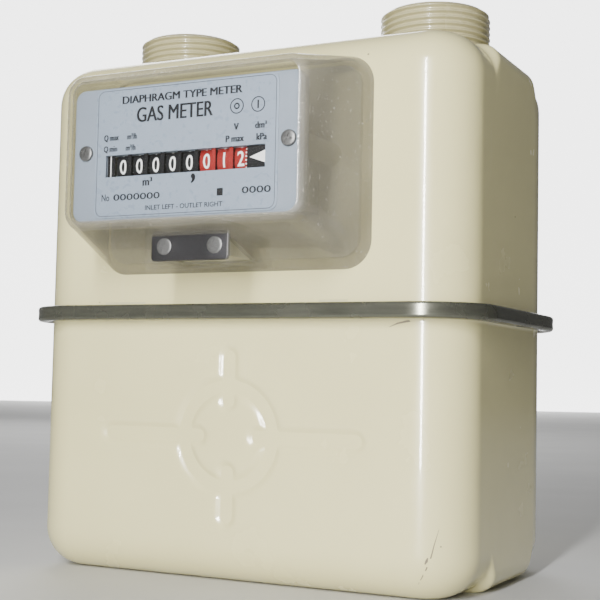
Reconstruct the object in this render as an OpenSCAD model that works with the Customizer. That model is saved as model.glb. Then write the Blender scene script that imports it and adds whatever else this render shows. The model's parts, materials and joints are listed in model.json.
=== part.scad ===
// Diaphragm gas meter: a drawn steel case in two shells, a counter under a
// clear cover, and a two-diaphragm measuring unit with slide valves inside.
// X runs to the right, Y to the back, Z up. The origin is the centre of the
// case's bottom face.

/* [Case] */
// Width of the case
case_w = 176; // [174:0.5:178]
// Depth of the case
case_d = 115.4; // [114:0.2:117]
// Height of the case without its spigots
case_h = 195; // [194:0.5:197]
// Height of the seam between the two shells
seam_z = 96.7; // [95:0.1:98]
// Sheet thickness of the case
wall = 1; // [0.8:0.1:1.2]
// Radius of the two front upright corners
front_r = 19.3; // [18:0.1:20]
// Radius of the two rear upright corners
rear_r = 34; // [32:0.5:35]
// Rounding of the top and bottom edges
edge_r = 15; // [14:0.5:16]
// Rounding of the same edges in the squarer band at mid depth
band_edge_r = 7.5; // [6:0.5:9]
// Depth of that squarer band
band_d = 38; // [30:1:40]

/* [Seam] */
// How far the shell flanges stand out
flange_out = 5; // [4:0.5:5]
// How far the clamping belt stands out
belt_out = 6; // [6:0.5:7]
// Height of the clamping belt
belt_h = 5.6; // [5.4:0.1:6.4]

/* [Spigots] */
// Distance between the two spigots
spigot_gap = 110; // [110:1:110]
// Crest radius of the outside thread
thread_r = 20.955; // [20.955:0.001:20.955]
// Pitch of the outside thread
thread_pitch = 2.309; // [2.309:0.001:2.309]
// Radius of the gas way
spigot_bore_r = 17; // [16:0.5:17.5]
// Height of the spigots above the case
spigot_h = 19; // [18:0.5:20]

/* [Pressed mark] */
// Height of the ring's centre
mark_z = 52.3; // [50:0.5:55]
// Outer radius of the pressed ring
mark_r = 21; // [20:0.5:26]
// Width of the pressed groove
mark_w = 6.5; // [5:0.5:8]
// Depth of the pressed groove
mark_depth = 1.2; // [0.8:0.1:1.4]

/* [Counter] */
// Height of the number wheels' axle
axle_z = 145.5; // [145:0.1:146]
// Place of the number wheels' axle in depth
axle_y = -79; // [-79:0.1:-78.8]
// Radius of a number wheel
wheel_r = 10; // [9.6:0.1:10]
// Width of a number wheel
wheel_w = 5.3; // [5.2:0.05:5.3]
// Distance from one number wheel to the next
wheel_pitch = 6.75; // [6.75:0.05:6.8]
// Centre of the lowest-value wheel, the one at the right
wheel_x = 21.4; // [21.4:0.1:21.6]

/* [Drive] */
// Place of the crank axis across the case
crank_x = 30.35; // [30.35:0.05:30.35]
// Place of the crank axis in depth
crank_y = -30; // [-30:0.1:-30]
// Throw of the crank pin
crank_throw = 7; // [6.5:0.1:7]

/* [Measuring unit] */
// Half width of the measuring unit
unit_x = 76; // [74:1:76]
// Half depth of the unit's body
unit_y = 21; // [21:0.5:22]
// Distance of each flag rod from the middle, across the case
rod_x = 56; // [56:0.1:56]
// Distance of each flag rod from the middle, in depth
rod_y = 19.3; // [19:0.1:19.3]
// Travel of each diaphragm either side of its middle
half_stroke = 15.5; // [14:0.1:15.5]

/* [Hidden] */
$fn = 96;

cream = [0.86, 0.84, 0.74];
steel = [0.62, 0.62, 0.6];
dark_steel = [0.36, 0.35, 0.31];
white = [0.93, 0.93, 0.93];
black = [0.06, 0.06, 0.06];
red = [0.72, 0.12, 0.1];
brass = [0.78, 0.64, 0.32];
rubber = [0.14, 0.14, 0.14];
unit_grey = [0.55, 0.56, 0.56];
acetal = [0.93, 0.91, 0.85];
seep = 0.05;                       // radial clearance of every running fit
half_w = case_w / 2;
half_d = case_d / 2;
front_y = -half_d;
spigot_x = spigot_gap / 2;

// ---- Shared shapes ------------------------------------------------------------

// A plan outline of the case, moved outwards by g, with true corner arcs.
module case_outline(g) {
    fx = half_w - front_r; fy = half_d - front_r;
    rx = half_w - rear_r;  ry = half_d - rear_r;
    polygon([[-fx, -half_d - g], [fx, -half_d - g], [half_w + g, -fy], [half_w + g, ry],
        [rx, half_d + g], [-rx, half_d + g], [-half_w - g, ry], [-half_w - g, -fy]]);
    for (s = [-1, 1]) {
        translate([s * fx, -fy]) circle(front_r + g);
        translate([s * rx, ry]) circle(rear_r + g);
    }
}

// One rounded corner of a shell: an upright column whose top edge is rounded.
module corner_post(r, h, edge) {
    rotate_extrude($fn = 32)
        polygon(concat([[0, 0], [r, 0]],
            [for (a = [0:15:90]) [r - edge + edge * cos(a), h - edge + edge * sin(a)]], [[0, h]]));
}

// The drawn block, open end down, set inwards by g.
module drawn_block(h, g) {
    hull() for (s = [-1, 1]) {
        translate([s * (half_w - front_r), front_r - half_d, 0]) corner_post(front_r - g, h - g, edge_r - g);
        translate([s * (half_w - rear_r), half_d - rear_r, 0]) corner_post(rear_r - g, h - g, edge_r - g);
    }
}

// The squarer band at mid depth, with a sloped step down to the drawn block.
module mid_band(h, g) {
    step_d = 8;
    hull() for (s = [-1, 1]) {
        translate([s * (half_w - band_edge_r), band_d / 2 - g, h - band_edge_r])
            rotate([90, 0, 0]) cylinder(r = band_edge_r - g, h = band_d - 2 * g, $fn = 32);
        translate([s * (half_w - edge_r), band_d / 2 + step_d - g, h - edge_r])
            rotate([90, 0, 0]) cylinder(r = edge_r - g, h = band_d + 2 * step_d - 2 * g, $fn = 32);
        translate([s * (half_w - edge_r) - edge_r + g, -band_d / 2 - step_d + g, 0])
            cube([2 * edge_r - 2 * g, band_d + 2 * step_d - 2 * g, 1]);
    }
}

// One shell with its flange, open end down and drawn from the seam upwards.
module shell(h) {
    gasket_half = 0.5;
    difference() {
        union() {
            drawn_block(h, 0);
            mid_band(h, 0);
            linear_extrude(gasket_half + wall) case_outline(flange_out);
        }
        translate([0, 0, -0.1]) {
            drawn_block(h + 0.1, wall);
            mid_band(h + 0.1, wall);
            linear_extrude(gasket_half + 0.1) case_outline(flange_out + 5);
        }
    }
}

// A slab with rounded corners, centred on X, standing from z0 to z1.
module slab(hx, z0, z1, r, y0, y1) {
    translate([0, y1, 0]) rotate([90, 0, 0]) linear_extrude(y1 - y0) {
        translate([-hx + r, z0]) square([2 * hx - 2 * r, z1 - z0]);
        translate([-hx, z0 + r]) square([2 * hx, z1 - z0 - 2 * r]);
        for (s = [-1, 1], z = [z0 + r, z1 - r]) translate([s * (hx - r), z]) circle(r);
    }
}

// A cylinder along Y from y0 to y1.
module rod_y_axis(x, z, r, y0, y1) {
    translate([x, y1, z]) rotate([90, 0, 0]) cylinder(r = r, h = y1 - y0);
}

// A cylinder along X from x0 to x1.
module rod_x_axis(y, z, r, x0, x1) {
    translate([x0, y, z]) rotate([0, 90, 0]) cylinder(r = r, h = x1 - x0);
}

// A flat bar with round ends between two points, at height z.
module flat_bar(p, q, w, z, t) {
    d = q - p;
    translate([p[0], p[1], z]) rotate([0, 0, atan2(d[1], d[0])]) {
        translate([0, -w / 2, 0]) cube([norm(d), w, t]);
        cylinder(r = w / 2, h = t);
        translate([norm(d), 0, 0]) cylinder(r = w / 2, h = t);
    }
}

// Involute of the pressure angle, in degrees, and the angle a flank turns by radius r.
function inv(a) = tan(a) * 180 / PI - a;
function flank(r, pitch_r) = inv(20) - inv(acos(min(1, pitch_r * cos(20) / r)));

// A spur gear outline with one tooth centred on +X; share is tooth thickness over pitch.
module gear_outline(teeth, pitch_r, out_r, root_r, share) {
    half = 180 / teeth * share;
    radii = [for (i = [0:4]) root_r + (out_r - root_r) * i / 4];
    circle(root_r + 0.01);
    for (i = [0:teeth - 1]) rotate(i * 360 / teeth)
        polygon(concat([[0, 0]],
            [for (r = radii) [r * cos(half + flank(r, pitch_r)), r * sin(half + flank(r, pitch_r))]],
            [for (k = [4:-1:0]) let (r = radii[k])
                [r * cos(half + flank(r, pitch_r)), -r * sin(half + flank(r, pitch_r))]]));
}

// Teeth of a crown gear standing up from z = 0, each one tapering towards its tip.
module crown_teeth(teeth, r_in, r_out, root_share, tip_share, h) {
    wedge_in = 2 * PI * r_in / teeth;
    wedge_out = 2 * PI * r_out / teeth;
    for (i = [0:teeth - 1]) rotate(i * 360 / teeth)
        polyhedron_tooth(r_in, r_out, wedge_in, wedge_out, root_share / 2, tip_share / 2, h);
}

// One crown tooth: a wedge that is narrower at its tip and at its inner end.
module polyhedron_tooth(r_in, r_out, w_in, w_out, a, b, h) {
    polyhedron(
        points = [[r_in, -w_in * a, 0], [r_out, -w_out * a, 0], [r_out, w_out * a, 0], [r_in, w_in * a, 0],
            [r_in, -w_in * b, h], [r_out, -w_out * b, h], [r_out, w_out * b, h], [r_in, w_in * b, h]],
        faces = [[0, 1, 2, 3], [4, 7, 6, 5], [0, 4, 5, 1], [1, 5, 6, 2], [2, 6, 7, 3], [3, 7, 4, 0]]);
}

// ---- Case -----------------------------------------------------------------------

index_z = axle_z;
bush_r = 4;

module upper_case() {
    color(cream) difference() {
        translate([0, 0, seam_z]) shell(case_h - seam_z);
        for (s = [-1, 1]) translate([s * spigot_x, 0, case_h - 10]) cylinder(r = spigot_neck_r, h = 20);
        rod_y_axis(crank_x, index_z, bush_r, front_y - 5, front_y + 5);
    }
}

// The pressed mark: a ring and four arms that stop short of its centre.
module mark_shape(extra) {
    rod_w = mark_w + 2 * extra;
    arm_in = 10 - extra;
    arm_x = 52 + extra;
    arm_z = 32 + extra;
    difference() {
        circle(mark_r + extra);
        circle(mark_r - mark_w - extra);
    }
    for (s = [-1, 1]) {
        translate([s > 0 ? arm_in : -arm_x, -rod_w / 2]) square([arm_x - arm_in, rod_w]);
        translate([-rod_w / 2, s > 0 ? arm_in : -arm_z]) square([rod_w, arm_z - arm_in]);
    }
}

module mark_solid(extra, y0, y1) {
    translate([0, y1, mark_z]) rotate([90, 0, 0]) linear_extrude(y1 - y0) mark_shape(extra);
}

module lower_case() {
    backing = wall + mark_depth;
    color(cream) difference() {
        union() {
            translate([0, 0, seam_z]) mirror([0, 0, 1]) shell(seam_z);
            mark_solid(1, front_y + wall / 2, front_y + backing);
        }
        mark_solid(0, front_y - 1, front_y + mark_depth);
    }
}

module seam_belt() {
    groove_half = 1.5;
    color(dark_steel) translate([0, 0, seam_z]) difference() {
        translate([0, 0, -belt_h / 2]) linear_extrude(belt_h) case_outline(belt_out);
        translate([0, 0, -belt_h]) linear_extrude(2 * belt_h) case_outline(1.2);
        translate([0, 0, -groove_half]) linear_extrude(2 * groove_half) case_outline(flange_out);
    }
}

module seam_gasket() {
    color(rubber) translate([0, 0, seam_z - 0.5]) linear_extrude(1) difference() {
        case_outline(flange_out);
        case_outline(-wall);
    }
}

spigot_neck_r = 20.2;

// A threaded spigot with a collar under the case top.
module spigot(x) {
    collar_r = 24;
    root_r = 19.48;
    top = case_h + spigot_h;
    first = case_h + 3.2;
    rings = floor((top - 0.8 - first) / thread_pitch);
    rise = thread_pitch * 0.3;
    crest = thread_pitch * 0.2;
    thread = [for (i = [0:rings - 1]) let (z = first + i * thread_pitch)
        each [[root_r, z], [thread_r, z + rise], [thread_r, z + rise + crest],
            [root_r, z + 2 * rise + crest]]];
    color(cream) translate([x, 0, 0]) rotate_extrude()
        polygon(concat([[spigot_bore_r, case_h - wall - 2], [collar_r, case_h - wall - 2],
            [collar_r, case_h - wall], [spigot_neck_r, case_h - wall], [spigot_neck_r, case_h + 2.8],
            [root_r, case_h + 2.8]], thread,
            [[root_r, top - 0.8], [root_r - 0.8, top], [spigot_bore_r, top]]));
}

module inlet_spigot() { spigot(-spigot_x); }
module outlet_spigot() { spigot(spigot_x); }

// ---- Counter --------------------------------------------------------------------

dial_y = -91;
dial_t = 1.5;
dial_screw_x = 40;
dial_screw_z = 150.6;
dial_z0 = 126.3;
dial_z1 = 173.2;
base_t = 2;
cradle_back_y = -66.5;

module counter_base() {
    post_r = 4;
    block_x = 13;
    color(cream) difference() {
        union() {
            slab(51, 115, 181.5, 7, front_y - base_t, front_y);
            for (s = [-1, 1])
                rod_y_axis(s * dial_screw_x, dial_screw_z, post_r, dial_y + dial_t, front_y - base_t);
            translate([-block_x, -84.8, 114.2]) cube([2 * block_x, 27.1, 6]);
        }
        for (s = [-1, 1]) {
            rod_y_axis(s * dial_screw_x, dial_screw_z, 1.2, dial_y - 1, dial_y + 8);
            rod_y_axis(s * seal_screw_x, seal_z, 1.2, -90, -80);
        }
        rod_y_axis(crank_x, index_z, bush_r + 0.2, front_y - 5, front_y + 5);
    }
}

cover_t = 1.6;
cover_front_y = -95;
cover_flat = 5;

// The clear cover's body, set inwards by g.
module cover_block(g) {
    foot = front_y - 0.05;
    hull() {
        for (sx = [-1, 1], z = [123.5 + cover_flat, 178 - cover_flat])
            translate([sx * (47.5 - cover_flat), cover_front_y + cover_flat, z])
                sphere(r = cover_flat - g, $fn = 24);
        for (sx = [-1, 1], z = [111 + 10, 185 - 10])
            translate([sx * (55 - 10), foot, z]) rotate([90, 0, 0]) cylinder(r = 10 - g, h = 1, $fn = 32);
    }
}

pocket_x = 17;
pocket_front_y = -88;

// The seal pocket under the cover, set inwards by g.
module pocket_block(g) {
    hull() {
        translate([-pocket_x + g, pocket_front_y + g, 109.5 + g]) cube([2 * pocket_x - 2 * g, 1, 16]);
        translate([-pocket_x + g, front_y - 1, 112 + g]) cube([2 * pocket_x - 2 * g, 0.95 + g, 12]);
    }
}

module counter_cover() {
    color([0.8, 0.82, 0.82, 0.35]) difference() {
        union() { cover_block(0); pocket_block(0); }
        cover_block(cover_t);
        pocket_block(cover_t);
        translate([-60, front_y - 1, 100]) cube([120, 5, 4]);
    }
}

window_x = 31.5;
window_h = 7.6;

module dial_plate() {
    color(white) difference() {
        slab(45.5, dial_z0, dial_z1, 4, dial_y, dial_y + dial_t);
        translate([-window_x, dial_y - 1, axle_z - window_h / 2]) cube([2 * window_x, 4, window_h]);
        for (s = [-1, 1]) rod_y_axis(s * dial_screw_x, dial_screw_z, 1.4, dial_y - 1, dial_y + 4);
    }
}

// A round-head screw along Y whose head sits in front of y.
module front_screw(x, z, y, head_r, head_t, shank) {
    difference() {
        rod_y_axis(x, z, head_r, y - head_t, y);
        rod_y_axis(x, z, 0.9, y - head_t - 1, y - head_t + 0.5);
    }
    rod_y_axis(x, z, 1.2, y, y + shank);
}

module dial_screws() {
    color(steel) for (s = [-1, 1]) front_screw(s * dial_screw_x, dial_screw_z, dial_y, 2.75, 1.4, 8);
}

seal_z = 117.5;
seal_screw_x = 10;
seal_y = -86;

module seal_plate() {
    color(dark_steel) difference() {
        slab(15.3, 112.4, 122.6, 1.5, seal_y, -84.8);
        for (s = [-1, 1]) rod_y_axis(s * seal_screw_x, seal_z, 1.3, seal_y - 1, seal_y + 3);
    }
}

module seal_screws() {
    color(steel) for (s = [-1, 1]) front_screw(s * seal_screw_x, seal_z, seal_y, 2.4, 0.35, 5);
}

plate_left_x = -32;
plate_right_x = 34.6;
plate_t = 1.5;
pinion_drop = 11.55;

// The counter's frame: two side plates, a back bar and four feet.
module wheel_cradle() {
    side_y = -83;
    side_z0 = axle_z - pinion_drop - 4;
    side_h = pinion_drop + 8;
    feet_x = [plate_left_x - plate_t, plate_right_x - 4];
    color(steel) difference() {
        union() {
            for (x = [plate_left_x - plate_t, plate_right_x])
                translate([x, side_y, side_z0]) cube([plate_t, cradle_back_y + 2 - side_y, side_h]);
            translate([plate_left_x, cradle_back_y, side_z0])
                cube([plate_right_x - plate_left_x, 2, side_h]);
            for (x = feet_x)
                translate([x, cradle_back_y + 2, side_z0])
                    cube([5, front_y - base_t - cradle_back_y - 2, side_h]);
        }
        rod_x_axis(axle_y, axle_z, 1.25, plate_left_x - 3, plate_right_x + 3);
        rod_x_axis(axle_y, axle_z - pinion_drop, 1, plate_left_x - 3, plate_right_x + 3);
        rod_y_axis(crank_x, index_z, 1.5 + seep, cradle_back_y - 1, cradle_back_y + 3);
        rod_y_axis(crank_x, index_z, 3, cradle_back_y + 2, front_y);
    }
}

module wheel_axle() {
    color(steel) rod_x_axis(axle_y, axle_z, 1.25, plate_left_x - plate_t, plate_right_x + plate_t);
}

module pinion_axle() {
    color(steel) rod_x_axis(axle_y, axle_z - pinion_drop, 1, plate_left_x - plate_t, plate_right_x + plate_t);
}

index_pinion_r = 2.7;
crown_1_teeth = 25;

// A number wheel: k is 1 for the fastest wheel. Wheels above 1 carry a spur ring on
// the right; wheel 1 carries a crown gear there. All but the last have a carry tooth plate.
module number_wheel(k) {
    x = wheel_x - (k - 1) * wheel_pitch;
    half = wheel_w / 2;
    color(k <= 3 ? red : black) translate([x, axle_y, axle_z]) rotate([0, 90, 0]) difference() {
        union() {
            translate([0, 0, -half]) cylinder(r = wheel_r, h = wheel_w);
            if (k > 1) translate([0, 0, half - 0.01]) rotate(9)
                linear_extrude(0.81) gear_outline(20, 8.25, 8.75, 7.5, 0.42);
            if (k < 8) translate([0, 0, -half - 0.3]) cylinder(r = 6.6, h = 0.31);
            if (k == 1) {
                translate([0, 0, half]) cylinder(r = 5.6, h = 1.8);
                translate([0, 0, half - 0.01]) cylinder(r = 9.2, h = 1.41);
                translate([0, 0, half + 1.39]) rotate(90 / crown_1_teeth)
                    crown_teeth(crown_1_teeth, 5.9, 9, 0.52, 0.22, 1.2);
            }
        }
        translate([0, 0, -10]) cylinder(r = 1.25 + seep, h = 20);
    }
}

module number_wheel_1() { number_wheel(1); }
module number_wheel_2() { number_wheel(2); }
module number_wheel_3() { number_wheel(3); }
module number_wheel_4() { number_wheel(4); }
module number_wheel_5() { number_wheel(5); }
module number_wheel_6() { number_wheel(6); }
module number_wheel_7() { number_wheel(7); }
module number_wheel_8() { number_wheel(8); }

// A transfer pinion between wheel k and wheel k + 1, on its own axle below the wheels.
module transfer_pinion(k) {
    x = wheel_x - k * wheel_pitch + wheel_w / 2;
    color(acetal) translate([x + 0.1, axle_y, axle_z - pinion_drop]) rotate([0, 90, 0]) difference() {
        union() {
            rotate(180) linear_extrude(0.75) gear_outline(8, 3.3, 3.9, 2.65, 0.42);
            translate([0, 0, 0.75]) cylinder(r = 3.3, h = 0.5);
        }
        translate([0, 0, -1]) cylinder(r = 1 + seep, h = 4);
    }
}

module transfer_pinion_1() { transfer_pinion(1); }
module transfer_pinion_2() { transfer_pinion(2); }
module transfer_pinion_3() { transfer_pinion(3); }
module transfer_pinion_4() { transfer_pinion(4); }
module transfer_pinion_5() { transfer_pinion(5); }
module transfer_pinion_6() { transfer_pinion(6); }
module transfer_pinion_7() { transfer_pinion(7); }

// ---- Drive from the crank to the counter ------------------------------------------

shaft_r = 1.5;
crown_face_y = crank_y - 3.2;
crown_back_y = crown_face_y - 3;
crank_pinion_z = index_z - 9.6;

module gland_bush() {
    color(brass) difference() {
        union() {
            rod_y_axis(crank_x, index_z, bush_r, front_y - base_t, front_y + 4);
            rod_y_axis(crank_x, index_z, 6.5, front_y + wall + 0.8, front_y + 4);
        }
        rod_y_axis(crank_x, index_z, shaft_r + seep, -70, -40);
    }
}

module gland_seal() {
    color(rubber) difference() {
        rod_y_axis(crank_x, index_z, 6.5, front_y + wall, front_y + wall + 0.8);
        rod_y_axis(crank_x, index_z, bush_r, -70, -40);
    }
}

module index_shaft() {
    color(steel) rod_y_axis(crank_x, index_z, shaft_r, -73.8, crown_face_y);
}

module index_pinion() {
    color(acetal) translate([crank_x, -69.7, index_z]) rotate([90, 0, 0]) difference() {
        linear_extrude(3.8) gear_outline(9, index_pinion_r, 3.2, 2.1, 0.42);
        translate([0, 0, -1]) cylinder(r = shaft_r, h = 6);
    }
}

module index_crown_gear() {
    color(acetal) translate([crank_x, crown_back_y, index_z]) rotate([-90, 0, 0]) difference() {
        union() {
            cylinder(r = 11.6, h = 2.2);
            translate([0, 0, 2.19]) rotate(90 + 7.5) crown_teeth(24, 8.2, 11.2, 0.5, 0.22, 1.5);
        }
        translate([0, 0, -1]) cylinder(r = shaft_r, h = 6);
    }
}

crank_web_z = 127;
table_z = 116;

// The crank: a shaft in the bridge, a web, and a pin that points down at the links.
module crank() {
    pin_low_z = 125.5;
    color(steel) translate([crank_x, crank_y, 0]) {
        translate([0, 0, crank_web_z]) cylinder(r = 10.5, h = 2);
        translate([-crank_throw, 0, pin_low_z]) cylinder(r = 1.5, h = 2);
        translate([0, 0, crank_web_z]) cylinder(r = shaft_r, h = 12.5);
    }
}

module crank_pinion() {
    color(acetal) translate([crank_x, crank_y, crank_pinion_z - 1.3]) difference() {
        rotate(-90) linear_extrude(2.6) gear_outline(8, 3.2, 3.8, 2.4, 0.42);
        translate([0, 0, -1]) cylinder(r = shaft_r, h = 6);
    }
}

// The bridge that holds the crank's bearing above the table.
module crank_bridge() {
    post_x0 = 45;
    color(unit_grey) difference() {
        union() {
            translate([crank_x - 5, crank_y - 5, 129.6]) cube([post_x0 - crank_x + 11, 10, 3]);
            translate([post_x0, crank_y - 8, table_z]) cube([6, 16, 16.6]);
            translate([post_x0, crank_y - 8, table_z]) cube([16, 16, 2.5]);
        }
        translate([crank_x, crank_y, 120]) cylinder(r = shaft_r + seep, h = 20);
        for (y = bridge_screw_y) translate([bridge_screw_x, y, table_z - 1]) cylinder(r = 1.3, h = 6);
    }
}

bridge_screw_x = 57;
bridge_screw_y = [crank_y - 4, crank_y + 4];

module bridge_screws() {
    color(steel) for (y = bridge_screw_y) translate([bridge_screw_x, y, 0]) {
        translate([0, 0, table_z + 2.5]) cylinder(r = 2.4, h = 1.6);
        translate([0, 0, table_z - 3.5]) cylinder(r = 1.2, h = 6.1);
    }
}

// ---- Measuring unit -----------------------------------------------------------------

unit_z0 = 8;
unit_z1 = 112;
chamber_x = 69;
chamber_z0 = 14;
chamber_z1 = 106;
valve_x = [-28, 6];
valve_y = 7;
disc_t = 1.6;
cover_rim_t = 2;
dish_y = 45;

// Two chambers back to back under a table that carries the valves and the crank.
module unit_body() {
    port = [18, 5, 6];
    color(unit_grey) difference() {
        union() {
            slab(unit_x, unit_z0, unit_z1, 8, -unit_y, unit_y);
            translate([-70, -46, unit_z1 - 0.1]) cube([140, 82, table_z - unit_z1 + 0.1]);
        }
        slab(chamber_x, chamber_z0, chamber_z1, 20, -unit_y - 1, -1.5);
        slab(chamber_x, chamber_z0, chamber_z1, 20, 1.5, unit_y + 1);
        for (s = [-1, 1]) {
            translate([s * rod_x, s * rod_y, 11]) cylinder(r = shaft_r + seep, h = 120);
            for (dx = valve_x) translate([dx - port[0] / 2, valve_y + s * 8 - port[1] / 2, chamber_z1 - 1])
                cube([port[0], port[1], 20]);
        }
        for (dx = valve_x) translate([dx - port[0] / 2, valve_y - 2.5, unit_z1]) cube([port[0], 5, 10]);
        for (y = bridge_screw_y) translate([bridge_screw_x, y, table_z - 3.5]) cylinder(r = 1.2, h = 6);
    }
}

// A dished chamber cover; side is -1 at the front and 1 at the rear.
module chamber_cover(side) {
    rim0 = unit_y + 1;
    rim1 = rim0 + cover_rim_t;
    color(unit_grey) mirror([0, side > 0 ? 0 : 1, 0]) difference() {
        union() {
            slab(unit_x, unit_z0, unit_z1 - 0.2, 8, rim0, rim1);
            hull() {
                slab(chamber_x, chamber_z0, chamber_z1, 20, rim0, rim1);
                slab(chamber_x - 8, chamber_z0 + 8, chamber_z1 - 8, 14, rim1, dish_y);
            }
        }
        hull() {
            slab(chamber_x - 2, chamber_z0 + 2, chamber_z1 - 2, 18, rim0 - 1, rim1 - 0.5);
            slab(chamber_x - 9.5, chamber_z0 + 9.5, chamber_z1 - 9.5, 12.5, rim1, dish_y - 1.6);
        }
    }
}

module front_chamber_cover() { chamber_cover(-1); }
module rear_chamber_cover() { chamber_cover(1); }

disc_hx = 44;
disc_z0 = 34;
disc_z1 = 86;

// A diaphragm: a clamped rim, a deep fold and a flat ring that ends round the disc.
module diaphragm(side, disc_y) {
    skin = 0.8;
    rim_in = 11;
    corner = 12;
    color([0.3, 0.28, 0.25]) mirror([0, side > 0 ? 0 : 1, 0]) difference() {
        union() {
            slab(unit_x, unit_z0, unit_z1 - 0.2, 8, unit_y, unit_y + 1);
            slab(chamber_x - rim_in, chamber_z0 + rim_in, chamber_z1 - rim_in, corner, unit_y, disc_y + skin);
        }
        slab(chamber_x - rim_in - skin, chamber_z0 + rim_in + skin, chamber_z1 - rim_in - skin,
            corner - skin, unit_y - 1, disc_y);
        slab(disc_hx + 0.3, disc_z0 - 0.3, disc_z1 + 0.3, 13.3, unit_y - 1, disc_y + 2);
    }
}

disc_gap = 2.05;
front_disc_y = rod_y + half_stroke + disc_gap;
rear_disc_y = rod_y + disc_gap;

module front_diaphragm() { diaphragm(-1, front_disc_y); }
module rear_diaphragm() { diaphragm(1, rear_disc_y); }

// The stiff disc in the middle of a diaphragm, with two slotted lugs for the flag's pin.
module disc(side, y0) {
    lug_t = 1.5;
    color(steel) mirror([side > 0 ? 1 : 0, side > 0 ? 0 : 1, 0]) {
        slab(disc_hx, disc_z0, disc_z1, 13, y0, y0 + disc_t);
        for (z = [blade_z0 - lug_t - 0.3, blade_z1 + 0.3]) difference() {
            translate([-7, y0 - 3.8, z]) cube([11, 3.81, lug_t]);
            translate([-4.5, y0 - disc_gap - 1.3, z - 1]) cube([6.2, 2.6, lug_t + 2]);
        }
    }
}

module front_disc() { disc(-1, front_disc_y); }
module rear_disc() { disc(1, rear_disc_y); }

flag_swing = asin(half_stroke / rod_x);
blade_z0 = 45;
blade_z1 = 75;

// A flag: its rod stands in the body and its blade reaches the middle of the disc.
// A flag's blade seen from above: bent inwards, so that the disc clears it when it swings in.
module blade_shape() {
    bend = [12, 13];
    far = rod_x - bend[0];
    rotate(atan2(bend[1], bend[0])) translate([0, -0.6]) square([norm(bend), 1.2]);
    translate(bend) rotate(atan2(-bend[1], far)) translate([0, -0.6]) square([norm([far, bend[1]]), 1.2]);
    translate(bend) circle(r = 0.6, $fn = 16);
}

module flag(side, turn) {
    rod_top = side < 0 ? 124.6 : 122.8;
    color(steel) translate([side * rod_x, side * rod_y, 0]) {
        translate([0, 0, 11.2]) cylinder(r = shaft_r, h = rod_top - 11.2);
        rotate([0, 0, turn + (side > 0 ? 180 : 0)]) {
            translate([0, 0, blade_z0]) linear_extrude(blade_z1 - blade_z0) blade_shape();
            translate([rod_x, 0, blade_z0 - 2]) cylinder(r = 1, h = blade_z1 - blade_z0 + 4);
        }
    }
}

module front_flag() { flag(-1, -flag_swing); }
module rear_flag() { flag(1, 0); }

arm_len = crank_throw / sin(flag_swing);
front_rod = [-rod_x, -rod_y];
rear_rod = [rod_x, rod_y];
crank_at = [crank_x, crank_y];
pin_at = [crank_x - crank_throw, crank_y];
arm_z = [121.3, 119.5];

// Direction from a rod to the far end of its arm, when the arm is square to its link.
function square_arm(rod, side) = let (d = crank_at - rod)
    atan2(d[1], d[0]) + side * acos(arm_len / norm(d));
front_arm_dir = square_arm(front_rod, -1) - flag_swing;
rear_arm_dir = square_arm(rear_rod, -1);
front_tip = front_rod + arm_len * [cos(front_arm_dir), sin(front_arm_dir)];
rear_tip = rear_rod + arm_len * [cos(rear_arm_dir), sin(rear_arm_dir)];

// An arm pressed on a flag's rod, with the pivot pin for its link.
module arm(rod, tip, z) {
    color(steel) difference() {
        union() {
            flat_bar(rod, tip, 6, z, 1.6);
            translate([tip[0], tip[1], z]) cylinder(r = 1.3, h = 3.8);
        }
        translate([rod[0], rod[1], z - 1]) cylinder(r = shaft_r, h = 4);
    }
}

module front_arm() { arm(front_rod, front_tip, arm_z[0]); }
module rear_arm() { arm(rear_rod, rear_tip, arm_z[1]); }

// A link from an arm's pin to the crank pin.
module link(tip, z) {
    color(steel) difference() {
        flat_bar(tip, pin_at, 5, z, 1.6);
        translate([tip[0], tip[1], z - 1]) cylinder(r = 1.3 + seep, h = 4);
        translate([pin_at[0], pin_at[1], z - 1]) cylinder(r = 1.5 + seep, h = 4);
    }
}

module front_link() { link(front_tip, arm_z[0] + 1.8); }
module rear_link() { link(rear_tip, arm_z[1] + 1.8); }

grid_t = 3;
valve_throw = 4;

// The lapped plate with three ports under each valve.
module valve_grid() {
    color(black) difference() {
        translate([-44, -12, table_z]) cube([66, 40, grid_t]);
        for (dx = valve_x, s = [-1, 0, 1])
            translate([dx - 9, valve_y + s * 8 - 2.5, table_z - 1]) cube([18, 5, grid_t + 2]);
    }
}

// A D-shaped slide valve that joins two ports at a time.
module slide_valve(k, y) {
    color(acetal) difference() {
        translate([valve_x[k] - 12, y - 10.5, table_z + grid_t]) cube([24, 21, 6]);
        translate([valve_x[k] - 10, y - 8, table_z + grid_t - 1]) cube([20, 16, 5]);
    }
}

module front_valve() { slide_valve(0, valve_y); }
module rear_valve() { slide_valve(1, valve_y - valve_throw); }

duct_r = 12.5;

// The pipe that takes measured gas up to the outlet spigot.
module outlet_duct() {
    top_z = case_h - wall - 2;
    color(unit_grey) translate([spigot_x, 0, 0]) difference() {
        union() {
            translate([0, 0, table_z]) cylinder(r = duct_r, h = top_z - table_z - 3);
            translate([0, 0, table_z]) cylinder(r = duct_r + 2.5, h = 2);
            translate([0, 0, top_z - 5]) cylinder(r = spigot_bore_r + 3, h = 4);
        }
        translate([0, 0, table_z - 1]) cylinder(r = duct_r - 2, h = 100);
    }
}

module duct_gasket() {
    top_z = case_h - wall - 2;
    color(rubber) translate([spigot_x, 0, top_z - 1]) difference() {
        cylinder(r = spigot_bore_r + 3, h = 1);
        translate([0, 0, -1]) cylinder(r = duct_r - 2, h = 4);
    }
}

module unit_feet() {
    color(rubber) for (sx = [-1, 1], sy = [-1, 1])
        translate([sx * 50, sy * 12, wall]) cylinder(r = 6, h = unit_z0 - wall);
}

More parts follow.
